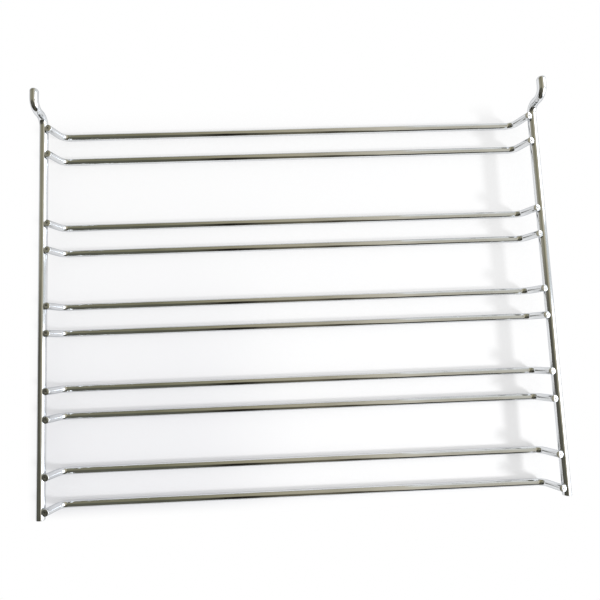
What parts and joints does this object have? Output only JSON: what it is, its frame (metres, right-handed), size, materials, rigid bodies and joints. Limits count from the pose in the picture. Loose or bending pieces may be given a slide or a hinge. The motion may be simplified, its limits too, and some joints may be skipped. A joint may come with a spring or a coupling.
{
  "type": "oven shelf rack",
  "caption": "Ladder of welded chrome wire that hangs by hooked uprights on an oven's side wall and carries shelves between paired rails.",
  "frame": {"origin": "middle of the rack's outline, on the surface that its rails lie on", "axes": "+X along the rails, +Y along the uprights towards the hooks, +Z away from the rails, towards the oven wall when hung"},
  "size_m": [0.37, 0.2994, 0.035],
  "materials": {
    "chrome_plate": "bright chrome plate on steel wire"
  },
  "bodies": {
    "root": {"left_upright": "chrome_plate", "right_upright": "chrome_plate", "shelf_1_lower_rail": "chrome_plate", "shelf_1_upper_rail": "chrome_plate", "shelf_2_lower_rail": "chrome_plate", "shelf_2_upper_rail": "chrome_plate", "shelf_3_lower_rail": "chrome_plate", "shelf_3_upper_rail": "chrome_plate", "shelf_4_lower_rail": "chrome_plate", "shelf_4_upper_rail": "chrome_plate", "shelf_5_lower_rail": "chrome_plate", "shelf_5_upper_rail": "chrome_plate"}
  },
  "joints": []
}
